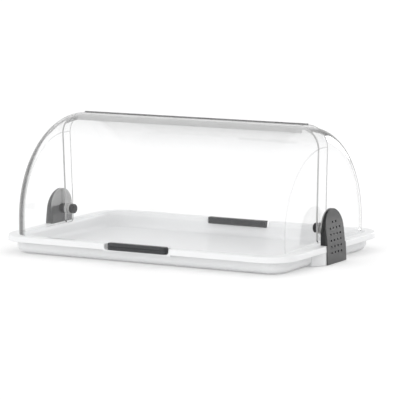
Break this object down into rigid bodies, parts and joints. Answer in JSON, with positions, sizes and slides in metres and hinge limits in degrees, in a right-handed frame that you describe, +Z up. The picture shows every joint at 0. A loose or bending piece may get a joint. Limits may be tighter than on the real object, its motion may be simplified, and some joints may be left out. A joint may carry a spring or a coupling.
{
  "type": "countertop bread display bin",
  "caption": "Low white tray with a clear roll-top hood of two nested leaves that turn on side hinges, for showing bread and pastry on a counter.",
  "frame": {"origin": "on the table under the middle of the tray, midway between the two hinge axes' ends", "axes": "+Z up, +X along the length to the right as the customer faces the front, +Y to the back"},
  "size_m": [0.568, 0.3685, 0.2317],
  "materials": {
    "white_plastic": "satin white moulded plastic",
    "clear_plastic": "clear polished plastic",
    "grey_plastic": "fine-textured dark grey moulded plastic",
    "bracket_plastic": "matt near-black moulded plastic",
    "handle_plastic": "satin dark grey moulded plastic",
    "knob_plastic": "satin black moulded plastic",
    "clear_bush": "natural translucent plastic",
    "clear_washer": "natural translucent plastic",
    "screw_steel": "plain stainless steel",
    "insert_brass": "plain brass",
    "foot_rubber": "matt rubber"
  },
  "bodies": {
    "base": {"base_tray": "white_plastic", "rubber_feet": "foot_rubber", "right_hinge_cover": "grey_plastic", "right_hinge_bracket": "bracket_plastic", "right_bracket_screws": "screw_steel", "right_pivot_bolt": "screw_steel", "right_pivot_bush": "clear_bush", "right_outer_washer": "clear_washer", "right_middle_washer": "clear_washer", "right_inner_washer": "clear_washer", "left_hinge_cover": "grey_plastic", "left_hinge_bracket": "bracket_plastic", "left_bracket_screws": "screw_steel", "left_pivot_bolt": "screw_steel", "left_pivot_bush": "clear_bush", "left_outer_washer": "clear_washer", "left_middle_washer": "clear_washer", "left_inner_washer": "clear_washer"},
    "front_leaf": {"front_hood": "clear_plastic", "front_handle": "handle_plastic", "front_handle_screws": "screw_steel"},
    "rear_leaf": {"rear_hood": "clear_plastic", "rear_handle": "handle_plastic", "rear_handle_screws": "screw_steel"},
    "right_clamp": {"right_knob": "knob_plastic", "right_knob_insert": "insert_brass"},
    "left_clamp": {"left_knob": "knob_plastic", "left_knob_insert": "insert_brass"}
  },
  "joints": [
    {"name": "front_leaf_roll", "type": "hinge", "parent": "base", "child": "front_leaf", "pos_m": [0, 0, 0.0575], "axis": [-1, 0, 0], "range_deg": [0, 85]},
    {"name": "rear_leaf_roll", "type": "hinge", "parent": "base", "child": "rear_leaf", "pos_m": [0, 0, 0.0575], "axis": [1, 0, 0], "range_deg": [0, 85]},
    {"name": "right_knob_turn", "type": "hinge", "parent": "base", "child": "right_clamp", "pos_m": [0.2474, 0, 0.0575], "axis": [1, 0, 0], "continuous": true},
    {"name": "left_knob_turn", "type": "hinge", "parent": "base", "child": "left_clamp", "pos_m": [-0.2474, 0, 0.0575], "axis": [-1, 0, 0], "continuous": true}
  ]
}
